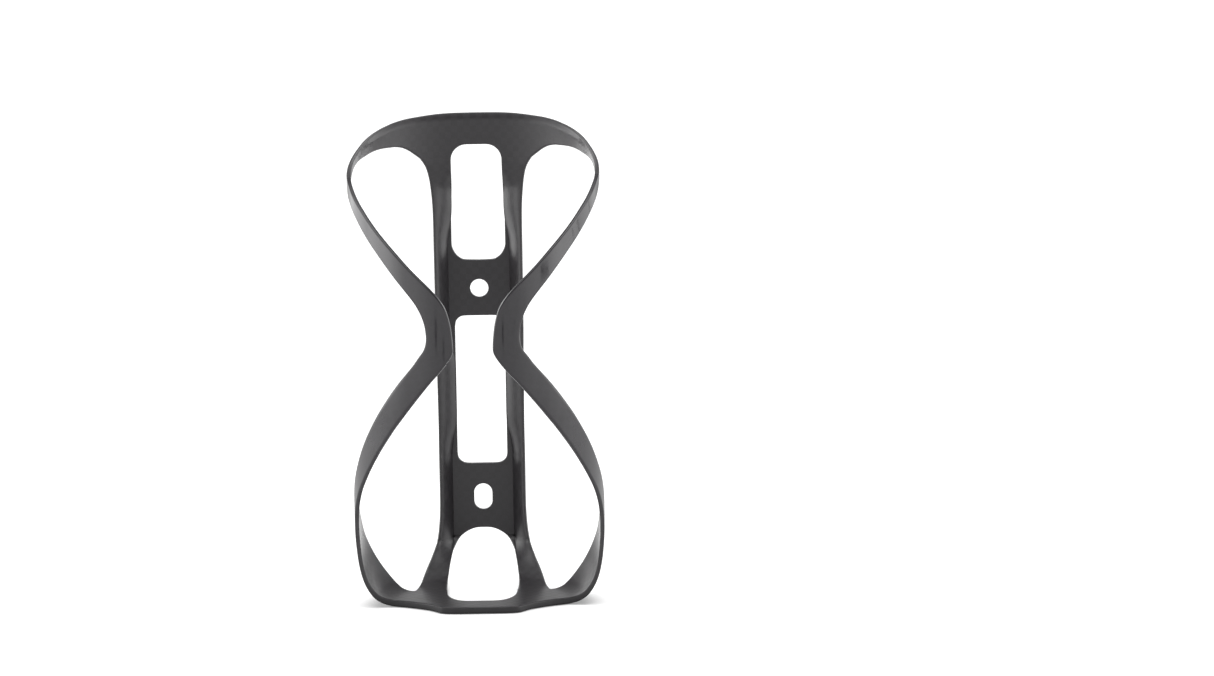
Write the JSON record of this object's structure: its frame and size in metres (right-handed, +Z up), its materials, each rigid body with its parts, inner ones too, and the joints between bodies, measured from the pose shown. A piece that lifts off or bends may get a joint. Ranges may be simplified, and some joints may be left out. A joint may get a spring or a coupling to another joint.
{
  "type": "water bottle cage",
  "caption": "Moulded carbon cage that bolts to a bicycle frame and grips a round drinks bottle between two open side wings, a collar and a base shelf.",
  "frame": {"origin": "middle of the cage's footprint, at the height of the underside of its base shelf", "axes": "+Z up along the bottle towards the mouth of the cage, +Y towards the bicycle frame tube that the bolt pads rest on, +X to the right seen from the open front"},
  "size_m": [0.0736, 0.0796, 0.143],
  "materials": {
    "carbon_weave": "satin clear-coated carbon fibre laminate with a fine woven check about 2 mm wide",
    "carbon_gloss": "glossy clear-coated carbon fibre laminate, nearly black, with faint lengthwise fibres"
  },
  "bodies": {
    "frame": {"top_collar": "carbon_weave", "base_hoop": "carbon_weave", "right_rail": "carbon_weave", "left_rail": "carbon_weave", "upper_bolt_plate": "carbon_weave", "lower_bolt_plate": "carbon_weave"},
    "right_grip": {"right_wing": "carbon_gloss"},
    "left_grip": {"left_wing": "carbon_gloss"}
  },
  "joints": [
    {"name": "right_wing_flex", "type": "hinge", "parent": "frame", "child": "right_grip", "pos_m": [0.0361, -0.0066, 0.07], "axis": [0, 0, 1], "range_deg": [0, 4], "stiffness_Nm_per_rad": 7},
    {"name": "left_wing_flex", "type": "hinge", "parent": "frame", "child": "left_grip", "pos_m": [-0.0361, -0.0066, 0.07], "axis": [0, 0, -1], "range_deg": [0, 4], "stiffness_Nm_per_rad": 7}
  ]
}
